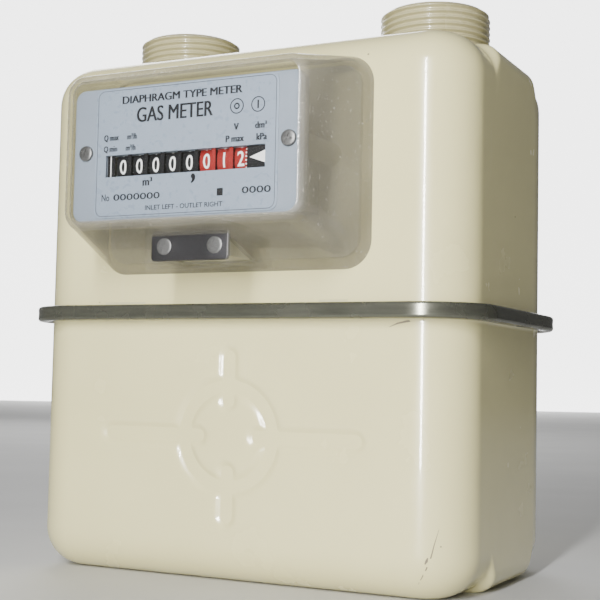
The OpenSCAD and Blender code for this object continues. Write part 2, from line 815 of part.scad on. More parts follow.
upper_case();
lower_case();
seam_belt();
seam_gasket();
inlet_spigot();
outlet_spigot();
counter_base();
counter_cover();
dial_plate();
dial_screws();
seal_plate();
seal_screws();
wheel_cradle();
wheel_axle();
pinion_axle();
number_wheel_1();
number_wheel_2();
number_wheel_3();
number_wheel_4();
number_wheel_5();
number_wheel_6();
number_wheel_7();
number_wheel_8();
transfer_pinion_1();
transfer_pinion_2();
transfer_pinion_3();
transfer_pinion_4();
transfer_pinion_5();
transfer_pinion_6();
transfer_pinion_7();
gland_bush();
gland_seal();
index_shaft();
index_pinion();
index_crown_gear();
crank();
crank_pinion();
crank_bridge();
bridge_screws();
unit_body();
front_chamber_cover();
rear_chamber_cover();
front_diaphragm();
rear_diaphragm();
front_disc();
rear_disc();
front_flag();
rear_flag();
front_arm();
rear_arm();
front_link();
rear_link();
valve_grid();
front_valve();
rear_valve();
outlet_duct();
duct_gasket();
unit_feet();
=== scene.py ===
"""The looks of the gas meter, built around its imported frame. Lengths are in metres."""
import json
import math

import bmesh
import bpy
import numpy as np
from mathutils import Matrix, Vector


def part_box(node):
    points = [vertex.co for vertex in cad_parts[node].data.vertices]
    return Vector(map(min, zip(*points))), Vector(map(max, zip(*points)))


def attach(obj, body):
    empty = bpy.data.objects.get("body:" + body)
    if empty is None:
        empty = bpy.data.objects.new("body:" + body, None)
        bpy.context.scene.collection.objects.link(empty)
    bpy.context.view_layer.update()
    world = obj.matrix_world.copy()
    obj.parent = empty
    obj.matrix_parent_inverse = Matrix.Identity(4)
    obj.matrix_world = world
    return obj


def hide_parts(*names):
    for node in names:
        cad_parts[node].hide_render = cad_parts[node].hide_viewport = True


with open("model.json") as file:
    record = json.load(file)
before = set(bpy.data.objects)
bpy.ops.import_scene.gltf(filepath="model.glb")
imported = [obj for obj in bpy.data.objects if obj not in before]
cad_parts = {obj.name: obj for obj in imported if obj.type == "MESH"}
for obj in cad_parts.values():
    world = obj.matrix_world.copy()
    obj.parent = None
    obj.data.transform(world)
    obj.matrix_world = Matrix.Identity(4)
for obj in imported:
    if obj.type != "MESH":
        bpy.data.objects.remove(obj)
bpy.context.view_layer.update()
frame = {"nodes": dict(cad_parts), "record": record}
MM = 0.001
METER = "meter"

# ---- Places read from the frame --------------------------------------------------

upper_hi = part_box("upper_case")[1]
belt_lo, belt_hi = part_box("seam_belt")
cover_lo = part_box("counter_cover")[0]
dial_lo, dial_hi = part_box("dial_plate")
seal_lo, seal_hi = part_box("seal_plate")
FLANGE = 5 * MM                        # reach of the seam flange past the wall
SEAM_Z = (belt_lo[2] + belt_hi[2]) / 2
CASE_TOP = upper_hi[2]
HALF_W = upper_hi[0] - FLANGE
HALF_D = upper_hi[1] - FLANGE

# ---- The case's own dimensions ---------------------------------------------------

WALL = 1 * MM                          # thickness of the steel
FRONT_R = 19.3 * MM                    # corners in plan
REAR_R = 34 * MM
EDGE_R = 15 * MM                       # rounding of the top and bottom edges
BAND_EDGE_R = 7.5 * MM                 # smaller rounding in a band at mid depth
BAND_FLAT_Y = 20.5 * MM
BAND_END_Y = 26.5 * MM
SPIGOT_X = 55 * MM
DIAL_SCREW_X = 40 * MM
DIAL_SCREW_Z = 150.6 * MM


# ---- Camera ------------------------------------------------------------------------

CAMERA_PLACE = Vector((0.22331, -0.44246, 0.07155))
CAMERA_YAW = 0.469249
CAMERA_PITCH = 0.067374
CAMERA_ROLL = 0.020440
LENS = 74.58                           # millimetres, for a sensor 36 mm wide
SENSOR = 36


def aim(origin, yaw, pitch, roll):
    """A camera matrix: yaw from +Y towards -X, pitch upwards, roll about the view."""
    ahead = Vector((-math.sin(yaw) * math.cos(pitch), math.cos(yaw) * math.cos(pitch), math.sin(pitch)))
    right = Vector((math.cos(yaw), math.sin(yaw), 0))
    up = right.cross(ahead)
    c, s = math.cos(roll), math.sin(roll)
    rolled_right = right * c + up * s
    rolled_up = up * c - right * s
    m = Matrix((rolled_right, rolled_up, -ahead)).transposed().to_4x4()
    m.translation = origin
    return m


def add_camera():
    data = bpy.data.cameras.new("camera")
    data.lens = LENS
    data.sensor_width = SENSOR
    data.clip_start = 0.01
    camera = bpy.data.objects.new("camera", data)
    camera.matrix_world = aim(CAMERA_PLACE, CAMERA_YAW, CAMERA_PITCH, CAMERA_ROLL)
    bpy.context.scene.collection.objects.link(camera)
    bpy.context.scene.camera = camera


# ---- Materials ---------------------------------------------------------------------

class Paint:
    """A short way to write a node material round one Principled shader."""

    def __init__(self, name, color, roughness=0.5, metallic=0.0, **sockets):
        self.mat = bpy.data.materials.new(name)
        self.mat.use_nodes = True
        self.tree = self.mat.node_tree
        self.shader = self.tree.nodes["Principled BSDF"]
        self.shader.inputs["Base Color"].default_value = (*color, 1)
        self.shader.inputs["Roughness"].default_value = roughness
        self.shader.inputs["Metallic"].default_value = metallic
        for key, value in sockets.items():
            self.shader.inputs[key.replace("_", " ")].default_value = value

    def feed(self, socket, source):
        """Links a socket to another one, or gives it a plain value."""
        if isinstance(source, bpy.types.NodeSocket):
            self.tree.links.new(source, socket)
        elif socket.type == "RGBA":
            socket.default_value = (*source, 1)
        else:
            socket.default_value = source

    def node(self, kind, links=None, **values):
        n = self.tree.nodes.new(kind)
        for key, value in values.items():
            setattr(n, key, value)
        for key, source in (links or {}).items():
            self.feed(n.inputs[key], source)
        return n

    def place(self, scale=(1, 1, 1)):
        """Object coordinates in millimetres, stretched by scale."""
        coords = self.node("ShaderNodeTexCoord").outputs["Object"]
        size = [s * 1000 for s in scale]
        return self.node("ShaderNodeMapping", {"Vector": coords, "Scale": size}).outputs[0]

    def noise(self, scale, detail=2.0, stretch=(1, 1, 1)):
        links = {"Vector": self.place(stretch), "Scale": scale, "Detail": detail}
        return self.node("ShaderNodeTexNoise", links).outputs["Fac"]

    def ramp(self, value, low, high, to_low=0.0, to_high=1.0):
        links = {"Value": value, "From Min": low, "From Max": high, "To Min": to_low, "To Max": to_high}
        return self.node("ShaderNodeMapRange", links).outputs[0]

    def math(self, operation, a, b):
        n = self.node("ShaderNodeMath", operation=operation)
        self.feed(n.inputs[0], a)
        self.feed(n.inputs[1], b)
        return n.outputs[0]

    def mix(self, share, a, b):
        n = self.node("ShaderNodeMix", {"Factor": share, "A": a, "B": b}, data_type="RGBA")
        return n.outputs["Result"]

    def color(self, source):
        self.tree.links.new(source, self.shader.inputs["Base Color"])

    def rough(self, source):
        self.tree.links.new(source, self.shader.inputs["Roughness"])

    def bump(self, height, distance, strength=1.0):
        links = {"Height": height, "Distance": distance, "Strength": strength}
        n = self.node("ShaderNodeBump", links)
        self.tree.links.new(n.outputs[0], self.shader.inputs["Normal"])


def shade(color, factor):
    return tuple(min(1, c * factor) for c in color)


CREAM = (0.76, 0.70, 0.36)
INK = (0.005, 0.005, 0.007)


def enamel(name="case_enamel", color=CREAM, specks=True):
    """Glossy stove enamel: a faint mottle, orange peel, fine dark specks and light scuffs."""
    p = Paint(name, color, 0.22, Coat_Weight=0.7, Coat_Roughness=0.05, Specular_IOR_Level=0.5)
    mottle = p.noise(0.02, 3)
    body = p.mix(p.ramp(mottle, 0.3, 0.7), shade(color, 0.97), shade(color, 1.03))
    if specks:
        dots = p.node("ShaderNodeTexVoronoi", {"Vector": p.place(), "Scale": 0.055})
        dot = p.ramp(dots.outputs["Distance"], 0.016, 0.024, 1, 0)
        body = p.mix(p.math("MULTIPLY", dot, 0.75), body, (0.09, 0.08, 0.06))
        scratch = p.ramp(p.noise(0.12, 2, (1, 1, 0.06)), 0.725, 0.74)
        body = p.mix(p.math("MULTIPLY", scratch, 0.025), body, (0.92, 0.9, 0.82))
    p.color(body)
    p.rough(p.ramp(p.noise(0.05, 4), 0.2, 0.8, 0.19, 0.30))
    p.bump(p.noise(0.9, 1), 0.00001, 0.35)
    return p.mat


def metal(name, color, roughness=0.35, grain=(0.04, 1, 1), bump=0.4, metallic=1.0):
    """Rolled or turned metal: stretched grain in colour, roughness and bump."""
    p = Paint(name, color, roughness, metallic)
    grained = p.noise(1.5, 4, grain)
    patch = p.noise(0.08, 3)
    body = p.mix(p.ramp(grained, 0.3, 0.7), shade(color, 0.85), shade(color, 1.12))
    p.color(p.mix(p.ramp(patch, 0.35, 0.75, 0, 0.5), body, shade(color, 0.7)))
    p.rough(p.ramp(patch, 0.3, 0.7, roughness - 0.07, roughness + 0.12))
    p.bump(grained, 0.00002, bump)
    return p.mat


def plastic(name, color, roughness=0.4, texture=0.6, mottle=0.04, **sockets):
    """Moulded plastic: a fine spark texture and a faint mottle."""
    p = Paint(name, color, roughness, **sockets)
    cloud = p.ramp(p.noise(0.12, 3), 0.3, 0.7)
    p.color(p.mix(cloud, shade(color, 1 - mottle), shade(color, 1 + mottle)))
    p.rough(p.ramp(p.noise(0.5, 3), 0.3, 0.7, roughness - 0.05, roughness + 0.07))
    p.bump(p.noise(4, 2), 0.00001, texture)
    return p.mat


def clear_plastic(name, color, alpha, shine=0.5):
    """Tinted clear plastic, with haze, flow lines and dust."""
    p = Paint(name, color, 0.1, Alpha=alpha, Specular_IOR_Level=shine)
    haze = p.ramp(p.noise(0.06, 4), 0.35, 0.75)
    dust = p.ramp(p.noise(0.7, 2), 0.62, 0.72)
    body = p.mix(haze, shade(color, 0.8), shade(color, 1.15))
    p.color(p.mix(p.math("MULTIPLY", dust, 0.5), body, (0.62, 0.6, 0.54)))
    p.rough(p.ramp(haze, 0, 1, 0.07, 0.16))
    p.bump(p.noise(0.05, 1), 0.0001, 0.25)
    return p.mat


def coated_cloth():
    """Rubber-coated diaphragm cloth with its weave showing through."""
    p = Paint("diaphragm_cloth", (0.16, 0.12, 0.08), 0.62, Sheen_Weight=0.15)
    wave = {"Vector": p.place(), "Scale": 1.1, "Distortion": 0.3}
    warp = p.node("ShaderNodeTexWave", wave, bands_direction="X").outputs["Fac"]
    weft = p.node("ShaderNodeTexWave", wave, bands_direction="Z").outputs["Fac"]
    weave = p.math("ADD", warp, weft)
    p.color(p.mix(p.ramp(weave, 0.2, 1.8), (0.12, 0.09, 0.06), (0.22, 0.17, 0.11)))
    p.bump(weave, 0.0001, 0.5)
    return p.mat


# ---- Mesh helpers --------------------------------------------------------------------

def mesh_piece(name, verts, faces, material, body=METER, sharp_deg=35):
    """A smooth-shaded mesh object that rides on body, or on nothing yet."""
    mesh = bpy.data.meshes.new(name)
    mesh.from_pydata([tuple(v) for v in verts], [], [tuple(f) for f in faces])
    mesh.validate()
    obj = bpy.data.objects.new(name, mesh)
    bpy.context.scene.collection.objects.link(obj)
    bm = bmesh.new()
    bm.from_mesh(mesh)
    bmesh.ops.remove_doubles(bm, verts=bm.verts, dist=1e-7)
    bmesh.ops.recalc_face_normals(bm, faces=bm.faces)
    bm.to_mesh(mesh)
    bm.free()
    finish_shading(mesh, sharp_deg)
    mesh.materials.append(material)
    if body:
        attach(obj, body)
    return obj


def finish_shading(mesh, sharp_deg=35):
    mesh.shade_smooth()
    mesh.set_sharp_from_angle(angle=math.radians(sharp_deg))


def ring_faces(rings, count, closed_profile=False):
    """Quads between consecutive rings of count points each."""
    faces = []
    for k in range(rings if closed_profile else rings - 1):
        a, b = k * count, (k + 1) % rings * count
        for i in range(count):
            j = (i + 1) % count
            faces.append((a + i, a + j, b + j, b + i))
    return faces


def cut(obj, cutters):
    """Cuts the cutters out of obj for good and removes them."""
    for cutter in cutters:
        mod = obj.modifiers.new("cut", "BOOLEAN")
        mod.operation = "DIFFERENCE"
        mod.solver = "EXACT"
        mod.object = cutter
    bpy.context.view_layer.update()
    evaluated = obj.evaluated_get(bpy.context.evaluated_depsgraph_get())
    mesh = bpy.data.meshes.new_from_object(evaluated)
    obj.modifiers.clear()
    old, obj.data = obj.data, mesh
    bpy.data.meshes.remove(old)
    for cutter in cutters:
        bpy.data.objects.remove(cutter)


def make_cutter(bm):
    """Turns bm into an object for cut() and frees it."""
    mesh = bpy.data.meshes.new("cutter")
    bm.to_mesh(mesh)
    bm.free()
    obj = bpy.data.objects.new("cutter", mesh)
    bpy.context.scene.collection.objects.link(obj)
    return obj


def cutter_cylinder(center, radius, depth, axis="Z", segments=96):
    bm = bmesh.new()
    bmesh.ops.create_cone(bm, cap_ends=True, segments=segments, radius1=radius, radius2=radius, depth=depth)
    if axis == "Y":
        bmesh.ops.rotate(bm, verts=bm.verts, matrix=Matrix.Rotation(math.pi / 2, 3, "X"))
    bmesh.ops.translate(bm, verts=bm.verts, vec=center)
    return make_cutter(bm)


def cutter_box(matrix):
    bm = bmesh.new()
    bmesh.ops.create_cube(bm, size=1, matrix=matrix)
    return make_cutter(bm)


def stack_piece(name, rings, material, sharp_deg=35):
    """Joins a stack of equal rings and closes it with a flat face at each end."""
    count = len(rings[0])
    verts = [p for ring in rings for p in ring]
    faces = ring_faces(len(rings), count)
    faces.append(tuple(range(count))[::-1])
    last = (len(rings) - 1) * count
    faces.append(tuple(range(last, last + count)))
    return mesh_piece(name, verts, faces, material, METER, sharp_deg)


def hollow_piece(name, outer, inner, material, sharp_deg=35):
    """An outer and an inner skin, joined at their first rings and closed at their last."""
    count = len(outer[0])
    verts = [p for ring in outer + inner[::-1] for p in ring]
    faces = ring_faces(len(outer), count)
    start = len(outer) * count
    faces += [tuple(i + start for i in f) for f in ring_faces(len(inner), count)]
    last = len(verts) - count
    faces += [(i, (i + 1) % count, last + (i + 1) % count, last + i) for i in range(count)]
    faces.append(tuple(range(start - count, start)))
    faces.append(tuple(range(start, start + count)))
    return mesh_piece(name, verts, faces, material, METER, sharp_deg)


# ---- Case ------------------------------------------------------------------------------

def spaced(a, b, step):
    """Values from a up to but not including b, about step apart."""
    n = max(1, round(abs(b - a) / step))
    return [a + (b - a) * i / n for i in range(n)]


def case_plan(step_x, step_y):
    """Plan outline of the case: rows of (x, y, normal x, normal y), counter-clockwise."""
    fx, fy = HALF_W - FRONT_R, HALF_D - FRONT_R
    rx, ry = HALF_W - REAR_R, HALF_D - REAR_R
    rows = [(x, -HALF_D, 0, -1) for x in spaced(-fx, fx, step_x)]

    def corner(cx, cy, r, start):
        for i in range(28):
            t = math.radians(start + 90 * i / 28)
            rows.append((cx + r * math.cos(t), cy + r * math.sin(t), math.cos(t), math.sin(t)))

    corner(fx, -fy, FRONT_R, -90)
    rows.extend((HALF_W, y, 1, 0) for y in spaced(-fy, ry, step_y))
    corner(rx, ry, REAR_R, 0)
    rows.extend((x, HALF_D, 0, 1) for x in spaced(rx, -rx, 4 * MM))
    corner(-rx, ry, REAR_R, 90)
    rows.extend((-HALF_W, y, -1, 0) for y in spaced(ry, -fy, step_y))
    corner(-fx, -fy, FRONT_R, 180)
    return np.array(rows)


def ease(t):
    t = np.clip(t, 0, 1)
    return t * t * (3 - 2 * t)


def edge_radius(plan):
    """Rounding of the top edge at each plan point: smaller in the band at mid depth."""
    away = ease((np.abs(plan[:, 1]) - BAND_FLAT_Y) / (BAND_END_Y - BAND_FLAT_Y))
    on_side = np.abs(plan[:, 2]) > 0.9
    small = np.where(on_side, 1 - away, 0)
    return EDGE_R + (BAND_EDGE_R - EDGE_R) * small


def mark_depth(x, z):
    """Depth of the pressed mark: a ring and four arms with soft edges."""
    mark_z, ring_r, groove = 52.3 * MM, 17.9 * MM, 3.0 * MM
    soft = 1.6 * MM
    dx, dz = np.abs(x), np.abs(z - mark_z)
    arm = 3.2 * MM
    ring = np.abs(np.hypot(dx, dz) - ring_r) - groove

    def bar(along, across, inner, outer):
        mid, half = (inner + outer) / 2, (outer - inner) / 2 - arm
        return np.hypot(np.maximum(np.abs(along - mid) - half, 0), across) - arm

    side_bar = bar(dx, dz, 9 * MM, 53 * MM)
    up_bar = bar(dz, dx, 9.5 * MM, 31.5 * MM)
    d = np.minimum(np.minimum(ring, side_bar), up_bar)
    return 1.2 * MM * ease((soft - d) / (2 * soft))


def shell_rings(plan, height, wall_rows, inset):
    """Rings of (x, y, z) from the flange fillet to the flat top, z up from the seam."""
    x, y, nx, ny = plan.T
    edge = edge_radius(plan) - inset
    rings = []
    fillet = 2 * MM
    base = 1.5 * MM
    if inset == 0:
        for g, z in ((FLANGE, 0.5 * MM), (FLANGE, 1.35 * MM), (FLANGE - 0.15 * MM, base)):
            rings.append((g + 0 * x, z + 0 * x))
        for t in np.radians([0, 22.5, 45, 67.5, 90]):
            rings.append((fillet * (1 - math.sin(t)) + 0 * x, base + fillet * (1 - math.cos(t)) + 0 * x))
        low = base + fillet
    else:
        rings.append((0 * x - inset, 0.5 * MM + 0 * x))
        low = 0.5 * MM
    high = height - inset - edge
    for k in range(1, wall_rows + 1):
        rings.append((0 * x - inset, low + (high - low) * k / wall_rows))
    for t in np.radians(np.arange(7.5, 90.1, 7.5)):
        rings.append((-inset - edge * (1 - math.cos(t)), high + edge * math.sin(t)))
    return [np.stack([x + nx * g, y + ny * g, z], 1) for g, z in rings]


def shell_piece(name, height, wall_rows, step_x, up, material, pressed=False):
    """One half of the case, opening at the seam; pressed gives its front the mark."""
    plan = case_plan(step_x, 0.9 * MM)
    outer = shell_rings(plan, height, wall_rows, 0)
    inner = shell_rings(plan, height, 4, WALL)
    for ring in outer + inner:
        x, y, z = ring.T
        ring[:, 2] = SEAM_Z + (z if up else -z)
        if pressed:
            on_front = np.abs(y + HALF_D) < 0.05 * MM
            ring[:, 1] += np.where(on_front, mark_depth(x, z), 0)
    return hollow_piece(name, outer, inner, material, 50)


def add_case(m):
    upper = shell_piece("upper_shell", CASE_TOP - SEAM_Z, 10, 4 * MM, True, m["enamel"])
    spigot_hole, bush_hole = 20.2 * MM, 4.05 * MM
    cutters = [cutter_cylinder((s * SPIGOT_X, 0, CASE_TOP), spigot_hole, 20 * MM) for s in (-1, 1)]
    bush_lo, bush_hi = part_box("gland_bush")
    gland = ((bush_lo[0] + bush_hi[0]) / 2, -HALF_D, (bush_lo[2] + bush_hi[2]) / 2)
    cutters.append(cutter_cylinder(gland, bush_hole, 10 * MM, "Y", 32))
    cut(upper, cutters)
    finish_shading(upper.data, 50)
    lower = shell_piece("lower_shell", SEAM_Z, 104, 1 * MM, False, m["enamel"], True)
    for obj, node in ((upper, "upper_case"), (lower, "lower_case")):
        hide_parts(node)


def wall_point(t, z, lift):
    """A point t along the lower front from its middle, going on round the right-hand corner."""
    flat = HALF_W - FRONT_R
    turn = max(0.0, t - flat) / FRONT_R - math.pi / 2
    drop = max(0.0, EDGE_R - z)
    r = FRONT_R + lift - (EDGE_R - math.sqrt(EDGE_R ** 2 - drop ** 2))
    return (min(t, flat) + r * math.cos(turn), FRONT_R - HALF_D + r * math.sin(turn), z)


def add_wear(name, path, half, material, tapered=True):
    """A thin mark on the lower front, swept along (t, z) points in millimetres."""
    proud, sunk = 0.05 * MM, -0.15 * MM
    path = [Vector(p) * MM for p in path]
    verts = []
    for i, p in enumerate(path):
        ahead = (path[min(i + 1, len(path) - 1)] - path[max(i - 1, 0)]).normalized()
        w = half * MM * (math.sin(math.pi * (i + 0.35) / (len(path) - 0.3)) if tapered else 1)
        side = Vector((-ahead.y, ahead.x)) * w
        for sign, lift in ((1, proud), (-1, proud), (-1, sunk), (1, sunk)):
            q = p + side * sign
            verts.append(wall_point(q.x, q.y, lift))
    last = len(verts) - 4
    faces = ring_faces(len(path), 4) + [(0, 1, 2, 3), (last, last + 1, last + 2, last + 3)]
    mesh_piece(name, verts, faces, material)


def add_marks(m):
    """Marks on the lower shell: a scratch, lifted paint under the belt with a painted shadow line beneath
    it, and two tape marks.
    """
    path = [(73, 6.5), (74.5, 9), (76, 12), (77.5, 16), (78.5, 20), (80, 25)]
    add_wear("corner_scratch", path, 0.22, m["primer_and_shadow"])
    add_wear("short_scratch", [(75.5, 13.5), (76, 14.5), (76.4, 15.6)], 0.45, m["primer_and_shadow"])
    # The dark primer-coloured line just under the belt is painted shadow under the lifted paint sliver laid
    # 0.6 mm above it.
    shadow_line = [(62, 91.2), (65, 92.4), (69, 93.2), (74, 93.6), (80, 93.8), (86, 94)]
    add_wear("painted_shadow_line", shadow_line, 0.4, m["primer_and_shadow"])
    add_wear("lifted_paint", [(t, z + 0.6) for t, z in shadow_line[:5]], 0.35, m["enamel"])
    for name, t0, t1 in (("left", -54, -36), ("right", 35.5, 46.5)):
        path = [(t0, 97), ((t0 + t1) / 2, 97), (t1, 97)]
        add_wear(f"tape_mark_{name}", path, 3.7, m["tape"], False)


def add_belt(m):
    """The rolled belt: a C section swept round the plan outline."""
    plan = case_plan(4 * MM, 3 * MM)
    half = (belt_hi[2] - belt_lo[2]) / 2
    out = belt_hi[0] - HALF_W
    r = 1.1 * MM
    profile = [(1.2 * MM, half - 0.9 * MM), (1.2 * MM, half - 0.15 * MM), (1.5 * MM, half)]
    for t in np.radians(np.arange(0, 90.1, 22.5)):
        profile.append((out - r + r * math.sin(t), half - r + r * math.cos(t)))
    profile.append((out - 0.12 * MM, 0))
    profile += [(g, -z) for g, z in profile[-2::-1]]
    groove = 1.45 * MM
    inner = 4.9 * MM
    profile += [(inner, -groove), (inner, groove)]
    x, y, nx, ny = plan.T
    rings = [np.stack([x + nx * g, y + ny * g, SEAM_Z + z + 0 * x], 1) for g, z in profile]
    faces = ring_faces(len(rings), len(plan), True)
    belt = mesh_piece("rolled_belt", np.concatenate(rings), faces, m["belt"])
    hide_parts("seam_belt")


def add_spigot(name, x, node, m):
    """A spigot with a rounded foot and a true helical thread."""
    bore, root, crest, pitch = 17 * MM, 19.55 * MM, 20.955 * MM, 2.309 * MM
    lo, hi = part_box(node)
    bottom, top = lo[2], hi[2]
    start, stop = CASE_TOP + 3.0 * MM, top - 0.9 * MM
    around = 144
    profile = [(bore, bottom), (24 * MM, bottom), (24 * MM, CASE_TOP - WALL),
        (21.9 * MM, CASE_TOP - WALL), (22.2 * MM, CASE_TOP - 0.1 * MM), (21.7 * MM, CASE_TOP + 0.5 * MM),
        (20.9 * MM, CASE_TOP + 1.0 * MM), (20.5 * MM, CASE_TOP + 1.3 * MM), (20.6 * MM, CASE_TOP + 1.9 * MM),
        (20.3 * MM, CASE_TOP + 2.4 * MM), (19.8 * MM, CASE_TOP + 2.8 * MM)]
    rows = 84
    thread_z = [start + (stop - start) * k / rows for k in range(rows + 1)]
    tail = [(root - 0.2 * MM, top - 0.45 * MM), (root - 0.75 * MM, top), (bore + 0.4 * MM, top),
        (bore, top - 0.4 * MM)]
    angle = 2 * math.pi * np.arange(around) / around
    rings = []

    def ring(r, z):
        r = r + 0 * angle
        rings.append(np.stack([x + r * np.cos(angle), r * np.sin(angle), z + 0 * angle], 1))

    for r, z in profile:
        ring(r, z)
    for z in thread_z:
        phase = np.mod((z - start) / pitch - angle / (2 * math.pi), 1)
        height = ease((1 - np.abs(2 * phase - 1) - 0.12) / 0.76)
        fade = min(1, (z - start) / (0.8 * MM), (stop - z) / (0.5 * MM) + 0.1)
        ring(root + (crest - root) * height * max(0, fade), z)
    for r, z in tail:
        ring(r, z)
    faces = ring_faces(len(rings), around, True)
    obj = mesh_piece(name, np.concatenate(rings), faces, m["spigot"], sharp_deg=60)
    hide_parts(node)


# ---- Counter ----------------------------------------------------------------------------

def panel_ring(hx, z0, z1, r, y, per_corner=10):
    """A rounded rectangle in the XZ plane at depth y."""
    corners = ((hx - r, z0 + r), (hx - r, z1 - r), (-hx + r, z1 - r), (-hx + r, z0 + r))
    pts = []
    for (cx, cz), start in zip(corners, (-90, 0, 90, 180)):
        for i in range(per_corner + 1):
            t = math.radians(start + 90 * i / per_corner)
            pts.append((cx + r * math.cos(t), y, cz + r * math.sin(t)))
    return pts


def bevel_panel(name, hx, z0, z1, r, y_front, y_back, bevel, material):
    """A plate facing -Y with rounded corners and a rounded front edge."""
    rings = [panel_ring(hx, z0, z1, r, y_back)]
    for t in np.radians([0, 22.5, 45, 67.5, 90]):
        g = bevel * (1 - math.cos(t))
        y = y_front + bevel * (1 - math.sin(t))
        rings.append(panel_ring(hx - g, z0 + g, z1 - g, max(r - g, 0.05 * MM), y))
    return stack_piece(name, rings, material, 50)


COVER_BACK = -HALF_D - 0.05 * MM
COVER_WALL = 1.6 * MM


def cover_rings(g):
    """Rings of the cover from its foot to its front, set inwards by g."""
    foot = dict(hx=55 * MM, z0=111 * MM, z1=185 * MM, r=10 * MM)
    front = dict(hx=47.5 * MM, z0=123.5 * MM, z1=178 * MM, r=7 * MM)
    round_r = 3.5 * MM
    front_y = cover_lo[1]
    rings = []
    depth = COVER_BACK - (front_y + round_r)

    def at(share, extra, y):
        k = {key: foot[key] + (front[key] - foot[key]) * share for key in foot}
        e = g + extra
        rings.append(panel_ring(k["hx"] - e, k["z0"] + e, k["z1"] - e, max(k["r"] - e, 1.5 * MM), y))

    at(0, 0, COVER_BACK)
    for i in range(1, 7):
        share = i / 6
        at(share * 0.97, 0, COVER_BACK - depth * share)
    for t in np.radians(np.arange(15, 90.1, 15)):
        inner_r = round_r - g
        y = front_y + g + inner_r * (1 - math.sin(t))
        at(0.97 + 0.03 * math.sin(t), inner_r * (1 - math.cos(t)), y)
    return rings


def clear_the_front(obj, front_y, material):
    """Gives the faces of both skins at the front the second, clearer material."""
    obj.data.materials.append(material)
    for face in obj.data.polygons:
        if face.center.y < front_y + COVER_WALL + 0.4 * MM and abs(face.normal.y) > 0.95:
            face.material_index = 1


def add_cover(m):
    """The clear cover: an outer and an inner skin joined round the open back."""
    cover = hollow_piece("clear_cover", cover_rings(0), cover_rings(COVER_WALL), m["walls_painted_reflection"], 50)
    # The walls keep the darker, denser tint, a painted reflection of the plastic seen edge-on; only the
    # front gets the clear material.
    clear_the_front(cover, cover_lo[1], m["clear"])
    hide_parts("counter_cover")


def add_seal_pocket(m):
    """The clear pocket that bulges under the cover around the seal plate."""
    front_y, half, rim = -88 * MM, 17 * MM, 0.6 * MM
    steps = ((COVER_BACK, 112, 124), (front_y + 2 * MM, 109.6, 125.5), (front_y + rim, 109.8, 125.3),
        (front_y + 0.15 * MM, 110.1, 125.0), (front_y, 110.6, 124.5))
    skins = []
    for e in (0, COVER_WALL):
        rings = []
        for y, z0, z1 in steps:
            g = e + 0.5 * MM * max(0, (front_y + rim - y) / rim)
            depth = y + (e if y < COVER_BACK else 0)
            r = 1.8 * MM - e * 0.6
            rings.append(panel_ring(half - g, z0 * MM + e, z1 * MM - e, r, depth, 5))
        skins.append(rings)
    pocket = hollow_piece("seal_pocket", *skins, m["pocket"], 50)
    # The pocket's walls keep their darker, denser tint, a painted reflection of the plastic seen edge-on;
    # the front gets the clear material.
    clear_the_front(pocket, front_y, m["clear"])


def text_mesh(words, height, squeeze=1.0, align="CENTER", bold=0.012):
    """Vertices (x, z) and faces of flat lettering, baseline at z = 0."""
    curve = bpy.data.curves.new("words", "FONT")
    curve.offset = bold
    curve.body = words
    curve.align_x = align
    curve.resolution_u = 4
    obj = bpy.data.objects.new("words", curve)
    bpy.context.scene.collection.objects.link(obj)
    bpy.context.view_layer.update()
    mesh = bpy.data.meshes.new_from_object(obj.evaluated_get(bpy.context.evaluated_depsgraph_get()))
    cap = 0.7
    verts = [(v.co.x * height / cap * squeeze, v.co.y * height / cap) for v in mesh.vertices]
    faces = [tuple(p.vertices) for p in mesh.polygons]
    bpy.data.objects.remove(obj)
    bpy.data.curves.remove(curve)
    bpy.data.meshes.remove(mesh)
    return verts, faces


